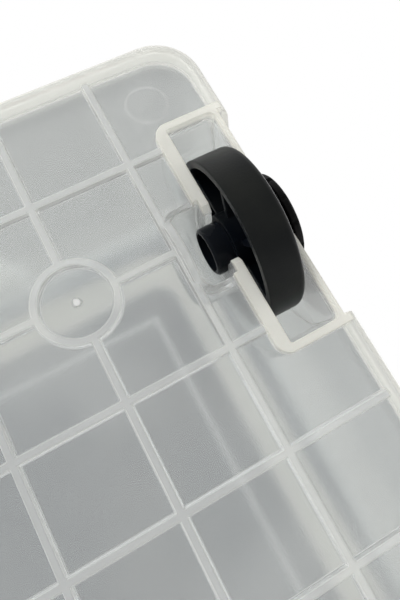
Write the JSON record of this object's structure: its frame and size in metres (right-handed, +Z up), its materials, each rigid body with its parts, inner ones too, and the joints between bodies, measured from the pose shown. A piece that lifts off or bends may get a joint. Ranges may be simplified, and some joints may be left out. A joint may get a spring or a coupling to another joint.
{
  "type": "wheeled tackle storage box",
  "caption": "Low translucent plastic gear box with a ribbed floor, clip-in wheels in moulded wells, a lift-off lid and a swing latch at each end.",
  "frame": {"origin": "on the ground under the middle of the box, where the wheels stand", "axes": "+Z up, X along the wheel axles, Y along the length of the box; front is -Y and right is +X"},
  "size_m": [0.333, 0.4772, 0.1863],
  "materials": {
    "tub_plastic": "natural translucent polypropylene, satin, moulded",
    "lid_plastic": "natural translucent polypropylene, satin, moulded",
    "latch_plastic": "natural polypropylene, thicker and milkier than the tub",
    "wheel_plastic": "black moulded plastic, satin tread",
    "axle_plastic": "black moulded plastic, semi-gloss",
    "cap_plastic": "black moulded plastic, fine grain"
  },
  "bodies": {
    "tub": {"tub": "tub_plastic"},
    "lid": {"lid": "lid_plastic"},
    "front_latch": {"front_latch": "latch_plastic"},
    "rear_latch": {"rear_latch": "latch_plastic"},
    "front_right_wheel": {"front_right_wheel": "wheel_plastic", "front_right_axle": "axle_plastic", "front_right_hub_cap": "cap_plastic"},
    "front_left_wheel": {"front_left_wheel": "wheel_plastic", "front_left_axle": "axle_plastic", "front_left_hub_cap": "cap_plastic"},
    "rear_right_wheel": {"rear_right_wheel": "wheel_plastic", "rear_right_axle": "axle_plastic", "rear_right_hub_cap": "cap_plastic"},
    "rear_left_wheel": {"rear_left_wheel": "wheel_plastic", "rear_left_axle": "axle_plastic", "rear_left_hub_cap": "cap_plastic"}
  },
  "joints": [
    {"name": "lid_lift", "type": "slide", "parent": "tub", "child": "lid", "axis": [0, 0, 1], "range_m": [0, 0.15]},
    {"name": "front_latch_swing", "type": "hinge", "parent": "tub", "child": "front_latch", "pos_m": [0, -0.2311, 0.158], "axis": [-1, 0, 0], "range_deg": [0, 180]},
    {"name": "rear_latch_swing", "type": "hinge", "parent": "tub", "child": "rear_latch", "pos_m": [0, 0.2311, 0.158], "axis": [1, 0, 0], "range_deg": [0, 180]},
    {"name": "front_right_wheel_spin", "type": "hinge", "parent": "tub", "child": "front_right_wheel", "pos_m": [0.141, -0.149, 0.026], "axis": [1, 0, 0], "continuous": true},
    {"name": "front_left_wheel_spin", "type": "hinge", "parent": "tub", "child": "front_left_wheel", "pos_m": [-0.141, -0.149, 0.026], "axis": [1, 0, 0], "continuous": true},
    {"name": "rear_right_wheel_spin", "type": "hinge", "parent": "tub", "child": "rear_right_wheel", "pos_m": [0.141, 0.149, 0.026], "axis": [1, 0, 0], "continuous": true},
    {"name": "rear_left_wheel_spin", "type": "hinge", "parent": "tub", "child": "rear_left_wheel", "pos_m": [-0.141, 0.149, 0.026], "axis": [1, 0, 0], "continuous": true}
  ]
}
